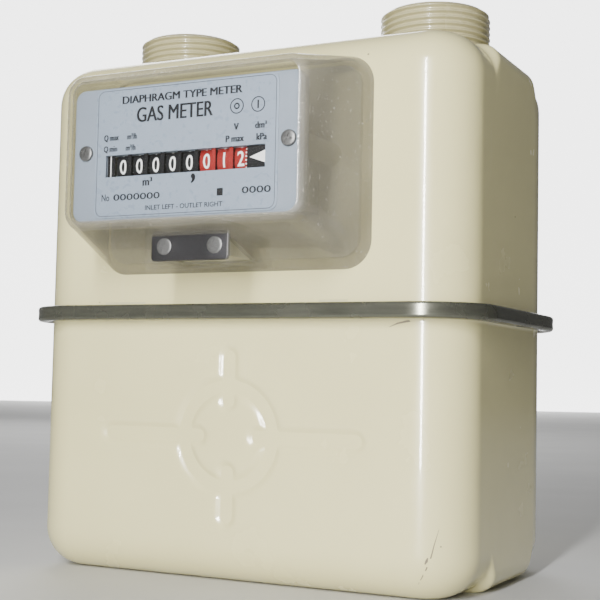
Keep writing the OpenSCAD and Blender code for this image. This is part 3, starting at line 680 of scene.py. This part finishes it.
class Print:
    """Flat printing gathered on one plane that faces -Y."""

    def __init__(self, y):
        self.y, self.verts, self.faces = y, [], []

    def add(self, verts, faces):
        base = len(self.verts)
        self.verts += [(x, self.y, z) for x, z in verts]
        self.faces += [tuple(i + base for i in f) for f in faces]

    def words(self, words, x, z, height, squeeze=1.0, align="CENTER", bold=0.012):
        verts, faces = text_mesh(words, height, squeeze, align, bold)
        self.add([(x + a, z + b) for a, b in verts], faces)

    def box(self, x0, z0, x1, z1):
        self.add([(x0, z0), (x1, z0), (x1, z1), (x0, z1)], [(0, 1, 2, 3)])

    def frame(self, hx, z0, z1, r, width):
        a = [(p[0], p[2]) for p in panel_ring(hx, z0, z1, r, 0)]
        b = [(p[0], p[2]) for p in panel_ring(hx - width, z0 + width, z1 - width, r - width, 0)]
        n = len(a)
        self.add(a + b, [(i, (i + 1) % n, n + (i + 1) % n, n + i) for i in range(n)])

    def ring(self, x, z, r, width, sides=32):
        turn = [2 * math.pi * i / sides for i in range(sides)]
        a = [(x + r * math.cos(t), z + r * math.sin(t)) for t in turn]
        b = [(x + (r - width) * math.cos(t), z + (r - width) * math.sin(t)) for t in turn]
        self.add(a + b, [(i, (i + 1) % sides, sides + (i + 1) % sides, sides + i) for i in range(sides)])

    def piece(self, name, material, thickness=0.04 * MM):
        """The printing as thin solid ink, so that it has a front, a back and edges."""
        mesh = bpy.data.meshes.new(name)
        mesh.from_pydata(self.verts, [], self.faces)
        bm = bmesh.new()
        bm.from_mesh(mesh)
        bmesh.ops.remove_doubles(bm, verts=bm.verts, dist=1e-7)
        for f in bm.faces:
            f.normal_update()
            if f.normal.y > 0:
                f.normal_flip()
        back = bmesh.ops.extrude_face_region(bm, geom=bm.faces[:])["geom"]
        moved = [g for g in back if isinstance(g, bmesh.types.BMVert)]
        bmesh.ops.translate(bm, verts=moved, vec=(0, -thickness, 0))
        bmesh.ops.recalc_face_normals(bm, faces=bm.faces)
        bm.to_mesh(mesh)
        bm.free()
        mesh.materials.append(material)
        obj = bpy.data.objects.new(name, mesh)
        bpy.context.scene.collection.objects.link(obj)
        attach(obj, METER)
        return obj


def wheel_center(k):
    lo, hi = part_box(f"number_wheel_{k}")
    return (lo[1] + hi[1]) / 2, (lo[2] + hi[2]) / 2


WHEEL_W = 5.3 * MM
WHEEL_PITCH = 6.75 * MM
WHEEL_1_X = 21.4 * MM
WHEEL_R = 10 * MM
READING = {1: 2, 2: 1}                 # digit shown by each wheel; the others show 0


def wheel_x(k):
    return WHEEL_1_X - (k - 1) * WHEEL_PITCH


def wrap(verts, faces, x, k, slices, start_deg):
    """Bends flat (x, z) lettering round wheel k, starting at an angle below the front."""
    bm = bmesh.new()
    made = [bm.verts.new((a, b, 0)) for a, b in verts]
    for f in faces:
        try:
            bm.faces.new([made[i] for i in f])
        except ValueError:
            pass
    for z in slices:
        geom = bm.verts[:] + bm.edges[:] + bm.faces[:]
        bmesh.ops.bisect_plane(bm, geom=geom, plane_co=(0, z, 0), plane_no=(0, 1, 0))
    cy, cz = wheel_center(k)
    r = WHEEL_R + 0.03 * MM
    out = []
    bm.verts.index_update()
    for v in bm.verts:
        t = math.radians(start_deg) + v.co.y / WHEEL_R
        out.append((x + v.co.x, cy - r * math.cos(t), cz + r * math.sin(t)))
    found = [tuple(v.index for v in f.verts) for f in bm.faces]
    bm.free()
    return out, found


def add_digits(m):
    """White numbers 0 to 9 round each wheel, and fine ticks on the fastest one."""
    high = 5.0 * MM
    slices = [high * i / 8 for i in range(1, 8)]
    shapes = [text_mesh(str(d), high, 0.8) for d in range(10)]
    for k in range(1, 9):
        verts, faces = [], []

        def take(v, f):
            base = len(verts)
            verts.extend(v)
            faces.extend(tuple(i + base for i in face) for face in f)

        shift = -0.35 * MM if k == 1 else 0
        for d in range(10):
            flat, polys = shapes[d]
            mid = [(a, b - high / 2) for a, b in flat]
            cuts = [s - high / 2 for s in slices]
            angle = -36 * (d - READING.get(k, 0))
            take(*wrap(mid, polys, wheel_x(k) + shift, k, cuts, angle))
        if k == 1:
            for i in range(50):
                w, h = 1.0 * MM, 0.5 * MM
                box = [(-w / 2, -h / 2), (w / 2, -h / 2), (w / 2, h / 2), (-w / 2, h / 2)]
                take(*wrap(box, [(0, 1, 2, 3)], wheel_x(1) + 1.95 * MM, 1, [], i * 7.2 + 3.6))
        obj = mesh_piece(f"wheel_{k}_numbers", verts, faces, m["number_white"], f"wheel_{k}")


def add_window(m):
    """Fixed strips in the counter's window: between the wheels and at both ends."""
    axle_z = wheel_center(1)[1]
    window_z = 3.8 * MM
    y = dial_hi[1] - 0.35 * MM
    black, red = Print(y), Print(y)
    for k in range(1, 8):
        x = wheel_x(k) - WHEEL_W / 2
        gap = WHEEL_PITCH - WHEEL_W
        strip = red if k < 3 else black
        strip.box(x - gap + 0.02 * MM, axle_z - window_z, x - 0.02 * MM, axle_z + window_z)
    end_l, end_r = -31.5 * MM, 31.5 * MM
    left = wheel_x(8) - WHEEL_W / 2
    right = wheel_x(1) + WHEEL_W / 2
    black.box(end_l, axle_z - window_z, left, axle_z + window_z)
    black.box(right, axle_z - window_z, end_r, axle_z + window_z)
    black.piece("window_black", m["wheel_black"], 0.3 * MM)
    red.piece("window_red", m["wheel_red"], 0.3 * MM)
    white = Print(y - 0.31 * MM)
    arrow = [(right + 1.0 * MM, axle_z), (end_r, axle_z - 2.3 * MM), (end_r, axle_z + 2.3 * MM)]
    white.add(arrow, [(0, 1, 2)])
    white.box(end_l + 1.2 * MM, axle_z - window_z, end_l + 1.55 * MM, axle_z + window_z)
    white.piece("window_white", m["number_white"])


def add_dial(m):
    """The pale dial: a shallow tray, a label with a window, and plain generic printing."""
    front = dial_lo[1]
    face = front - 0.35 * MM
    axle_z = wheel_center(1)[1]
    tray = bevel_panel("dial_tray", dial_hi[0], dial_lo[2], dial_hi[2], 4 * MM,
        front, dial_hi[1] + 1.6 * MM, 0.7 * MM, m["dial"])
    label = bevel_panel("dial_label", 36.1 * MM, 127.3 * MM, 172.8 * MM, 3 * MM,
        face, front + 0.3 * MM, 0.2 * MM, m["label"])
    window = Matrix.Translation((0, front, axle_z)) @ Matrix.Diagonal((63 * MM, 12 * MM, 7.6 * MM, 1))
    for obj in (tray, label):
        cutters = [cutter_box(window)]
        if obj is tray:
            cutters += [cutter_cylinder((s * DIAL_SCREW_X, front, DIAL_SCREW_Z), 1.4 * MM, 10 * MM, "Y", 32)
                for s in (-1, 1)]
        cut(obj, cutters)
        finish_shading(obj.data, 40)
    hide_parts("dial_plate")
    add_print(m, face)


def add_print(m, y):
    """Plain printing that any gas meter could carry: units, limits and zeros."""
    ink = Print(y)
    ink.frame(35.3 * MM, 128.0 * MM, 172.1 * MM, 2.6 * MM, 0.16 * MM)
    over = Print(y - 0.02 * MM)
    # The heavier words are printed twice, a hair apart.
    for plane, dx in ((ink, -0.17 * MM), (over, 0.17 * MM)):
        plane.words("DIAPHRAGM TYPE METER", -1.5 * MM + dx, 167.0 * MM, 2.7 * MM, 1.08, bold=0)
        plane.words("GAS METER", -4 * MM + dx, 160.2 * MM, 5.2 * MM, 0.8, bold=0)
        plane.words("Q max      m³/h", -32.5 * MM + dx, 154.5 * MM, 2.1 * MM, 0.72, "LEFT", 0)
        plane.words("Q min      m³/h", -32.5 * MM + dx, 150.6 * MM, 2.1 * MM, 0.72, "LEFT", 0)
        plane.words("V        dm³", 32 * MM + dx, 154.6 * MM, 2.3 * MM, 0.85, "RIGHT", 0)
        plane.words("P max      kPa", 32 * MM + dx, 150.7 * MM, 2.3 * MM, 0.85, "RIGHT", 0)
        plane.words("m³", -14 * MM + dx, 138.0 * MM, 2.9 * MM, 0.9, bold=0)
    ink.words(",", 4.2 * MM, 139.5 * MM, 8 * MM, 0.9, bold=0.02)
    ink.words("No", -33 * MM, 133.4 * MM, 2.4 * MM, 0.75, "LEFT")
    ink.words("0000000", -28 * MM, 133.4 * MM, 2.2 * MM, 1.75, "LEFT")
    ink.words("0000", 34 * MM, 133.4 * MM, 2.2 * MM, 1.75, "RIGHT")
    ink.box(13.6 * MM, 133.1 * MM, 15.9 * MM, 135.6 * MM)
    ink.words("INLET LEFT - OUTLET RIGHT", 0.5 * MM, 129.6 * MM, 1.6 * MM, 1.05)
    for x in (20.5 * MM, 28.5 * MM):
        ink.ring(x, 162.6 * MM, 2.6 * MM, 0.35 * MM)
    ink.ring(20.5 * MM, 162.6 * MM, 1.1 * MM, 0.5 * MM)
    ink.box(28.2 * MM, 161.2 * MM, 28.8 * MM, 164 * MM)
    for plane, name in ((ink, "dial_print"), (over, "dial_print_over")):
        plane.piece(name, m["ink"])


def add_screw(name, x, z, y, r, thick, material):
    """A round-head screw facing -Y with a crossed recess."""
    around = 48
    profile = [(0.001 * MM, 0), (r, 0), (r, -thick * 0.45), (r * 0.93, -thick * 0.75),
        (r * 0.75, -thick * 0.95), (r * 0.4, -thick), (0.001 * MM, -thick)]
    turns = [2 * math.pi * i / around for i in range(around)]
    rings = [[(x + a * math.sin(t), y + h, z + a * math.cos(t)) for t in turns] for a, h in profile]
    obj = stack_piece(name, rings, material)
    place = Matrix.Translation((x, y - thick, z))
    blade = Matrix.Diagonal((r * 1.1, thick, r * 0.24, 1))
    cut(obj, [cutter_box(place @ Matrix.Rotation(math.radians(turn), 4, "Y") @ blade) for turn in (20, 110)])
    finish_shading(obj.data)
    return obj


def add_screws(m):
    kinds = (("dial", DIAL_SCREW_X, DIAL_SCREW_Z, dial_lo[1], 2.75 * MM, 1.3 * MM),
        ("seal", 10 * MM, 117.5 * MM, seal_lo[1], 2.9 * MM, 0.35 * MM))
    for kind, x, z, y, r, thick in kinds:
        pair = [add_screw(f"{kind}_screw_{side}", s * x, z, y, r, thick, m["screw"])
            for side, s in (("left", -1), ("right", 1))]
        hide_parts(f"{kind}_screws")


def add_seal_plate(m):
    plate = bevel_panel("seal_cap", seal_hi[0], seal_lo[2], seal_hi[2], 1.5 * MM,
        seal_lo[1], seal_hi[1], 0.4 * MM, m["seal"])
    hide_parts("seal_plate")


# ---- CAD nodes that keep their shape -------------------------------------------------------

def dress_nodes(m):
    """Gives every CAD node that stays in view a finish that suits its material slot."""
    looks = {"rubber": "rubber", "base_plastic": "base", "frame_steel": "bracket",
        "wheel_black": "wheel_black", "wheel_red": "wheel_red", "acetal": "acetal", "brass": "brass",
        "shaft_steel": "shaft", "unit_plastic": "unit", "diaphragm_skin": "cloth",
        "valve_black": "grid", "screw_steel": "screw"}
    for part in frame["record"]["subparts"]:
        key = looks.get(part["material_slot"])
        obj = frame["nodes"][part["node"]]
        if key:
            for slot in obj.material_slots:
                slot.material = m[key]


# ---- Studio ---------------------------------------------------------------------------------

def add_light(name, place, wide, tall, watts, target=(0, 0, 0.1)):
    """A rectangular area light at place that faces target."""
    data = bpy.data.lights.new(name, "AREA")
    data.shape = "RECTANGLE"
    data.energy, data.size, data.size_y = watts, wide, tall
    light = bpy.data.objects.new(name, data)
    light.location = place
    light.rotation_euler = (Vector(target) - Vector(place)).to_track_quat("-Z", "Y").to_euler()
    bpy.context.scene.collection.objects.link(light)


def add_backdrop():
    """A bright card far behind the object, turned square to the camera's line of sight."""
    p = Paint("backdrop", (0.9, 0.9, 0.9), 0.9, Emission_Strength=4.0)
    p.shader.inputs["Emission Color"].default_value = (1, 1, 1, 1)
    p.color(p.mix(p.ramp(p.noise(0.01, 2), 0.3, 0.7), (0.88, 0.88, 0.88), (0.92, 0.92, 0.92)))
    ahead = Vector((-math.sin(CAMERA_YAW), math.cos(CAMERA_YAW), 0))
    right = Vector((ahead.y, -ahead.x, 0))
    middle = ahead * 3.5
    corners = ((-1.1, -0.1), (1.1, -0.1), (1.1, 1.5), (-1.1, 1.5))
    verts = [middle + right * s + Vector((0, 0, h)) for s, h in corners]
    mesh_piece("backdrop", verts, [(0, 1, 2, 3)], p.mat, None)


def add_floor():
    p = Paint("floor", (0.55, 0.55, 0.54), 0.8)
    p.color(p.mix(p.ramp(p.noise(0.01, 3), 0.3, 0.7), (0.53, 0.53, 0.52), (0.57, 0.57, 0.56)))
    side = 8
    verts = [(-side, -side, 0), (side, -side, 0), (side, side, 0), (-side, side, 0)]
    mesh_piece("floor", verts, [(0, 1, 2, 3)], p.mat, None)


def add_world():
    """Even light from the sky, dimmer towards +X so that the right side falls into shade."""
    world = bpy.data.worlds.new("studio")
    world.use_nodes = True
    tree = world.node_tree
    ways = tree.nodes.new("ShaderNodeSeparateXYZ")
    tree.links.new(tree.nodes.new("ShaderNodeTexCoord").outputs["Generated"], ways.inputs[0])
    dim = tree.nodes.new("ShaderNodeMapRange")
    for key, value in {"From Min": -0.2, "From Max": 0.6, "To Min": 0.24, "To Max": 0.04}.items():
        dim.inputs[key].default_value = value
    tree.links.new(ways.outputs["X"], dim.inputs["Value"])
    tree.links.new(dim.outputs[0], tree.nodes["Background"].inputs["Strength"])
    tree.nodes["Background"].inputs["Color"].default_value = (1, 1, 1, 1)
    bpy.context.scene.world = world


def add_studio():
    add_floor()
    add_world()
    add_light("key", (0.16, -0.68, 0.22), 0.04, 0.6, 12.0, (0.07, 0, 0.12))
    add_light("back", (-0.9, 1.1, 0.9), 0.8, 0.8, 10)
    add_backdrop()


def make_materials():
    return {
        "enamel": enamel(),
        "spigot": enamel("spigot_enamel", (0.46, 0.42, 0.24), False),
        "belt": metal("belt_steel", (0.17, 0.172, 0.135), 0.22, (0.05, 0.05, 1), 0.5, 0.75),
        # Bare primer shows in the scratches; the same colour also makes the painted shadow line under the
        # lifted paint.
        "primer_and_shadow": plastic("bare_primer_and_shadow", (0.20, 0.17, 0.11), 0.6, 0.5),
        "tape": plastic("tape_mark", (0.60, 0.56, 0.33), 0.3, 0.4),
        "clear": clear_plastic("clear_front", (0.20, 0.20, 0.18), 0.02, 0.2),
        # The walls of the cover and of the pocket are darker and denser than the clear fronts: painted
        # reflection of the plastic seen edge-on.
        "walls_painted_reflection": clear_plastic("clear_walls_painted_reflection", (0.30, 0.28, 0.22), 0.5),
        "pocket": clear_plastic("clear_pocket", (0.34, 0.33, 0.28), 0.14),
        "dial": plastic("dial_plastic", (0.23, 0.27, 0.32), 0.35, 0.3, 0.02),
        "label": plastic("label_film", (0.245, 0.295, 0.36), 0.3, 0.2, 0.02),
        "ink": plastic("ink", INK, 0.4, 0.2),
        "number_white": plastic("number_white", (0.86, 0.86, 0.84), 0.4, 0.2),
        "wheel_black": plastic("wheel_black", (0.006, 0.006, 0.007), 0.5, 0.3, Specular_IOR_Level=0.25),
        "wheel_red": plastic("wheel_red", (0.23, 0.007, 0.005), 0.42, 0.3),
        "screw": metal("screw_steel", (0.20, 0.20, 0.195), 0.4, (1, 1, 1), 0.4, 0.8),
        "seal": metal("seal_metal", (0.11, 0.107, 0.115), 0.34, (1, 1, 1), 0.5),
        "base": plastic("base_plastic", (0.55, 0.52, 0.36), 0.45),
        "rubber": plastic("rubber", (0.02, 0.02, 0.02), 0.75, 0.8),
        "bracket": metal("bracket_steel", (0.6, 0.6, 0.58), 0.4),
        "acetal": plastic("acetal", (0.82, 0.79, 0.7), 0.35),
        "brass": metal("brass", (0.7, 0.5, 0.2), 0.3, (1, 0.05, 1)),
        "shaft": metal("ground_steel", (0.62, 0.62, 0.62), 0.25),
        "unit": plastic("unit_plastic", (0.16, 0.17, 0.18), 0.5),
        "cloth": coated_cloth(),
        "grid": plastic("lapped_phenolic", (0.03, 0.028, 0.026), 0.3, 0.2),
    }


def main():
    add_camera()
    add_studio()
    m = make_materials()
    add_case(m)
    add_belt(m)
    add_marks(m)
    add_spigot("inlet_thread", -SPIGOT_X, "inlet_spigot", m)
    add_spigot("outlet_thread", SPIGOT_X, "outlet_spigot", m)
    add_cover(m)
    add_seal_pocket(m)
    add_dial(m)
    add_digits(m)
    add_window(m)
    add_screws(m)
    add_seal_plate(m)
    dress_nodes(m)


main()
